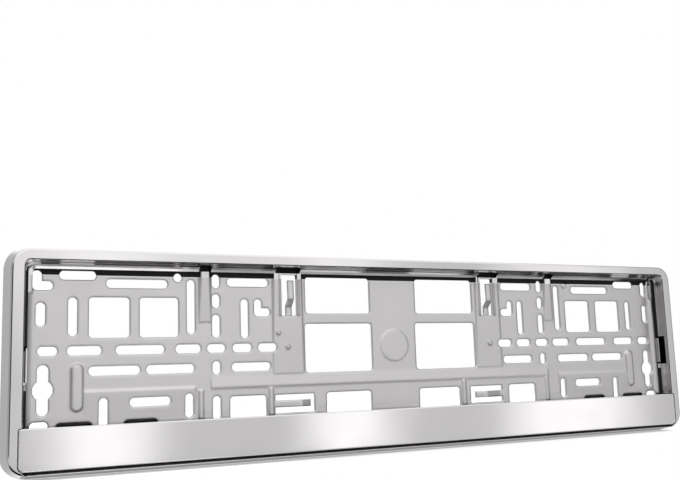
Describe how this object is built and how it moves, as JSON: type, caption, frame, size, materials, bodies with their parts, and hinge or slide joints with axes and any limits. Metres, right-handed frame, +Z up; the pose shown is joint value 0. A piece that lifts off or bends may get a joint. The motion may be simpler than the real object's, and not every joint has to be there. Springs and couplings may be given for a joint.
{
  "type": "number plate holder",
  "caption": "Chrome plated number plate holder: a shallow rimmed tray with a slotted mounting panel, spring tongues and a retaining strip that snaps in along its foot",
  "frame": {"origin": "middle of the flat back that lies against the car", "axes": "X along the plate, to the right as seen from the front; +Y out of the back, so the front faces -Y; Z up"},
  "size_m": [0.5484, 0.015, 0.143],
  "materials": {
    "plated_frame": "bright chrome plating on plastic, satin on the panel",
    "plated_strip": "mirror chrome plating on plastic"
  },
  "bodies": {
    "root": {"base_frame": "plated_frame", "retaining_strip": "plated_strip"}
  },
  "joints": []
}
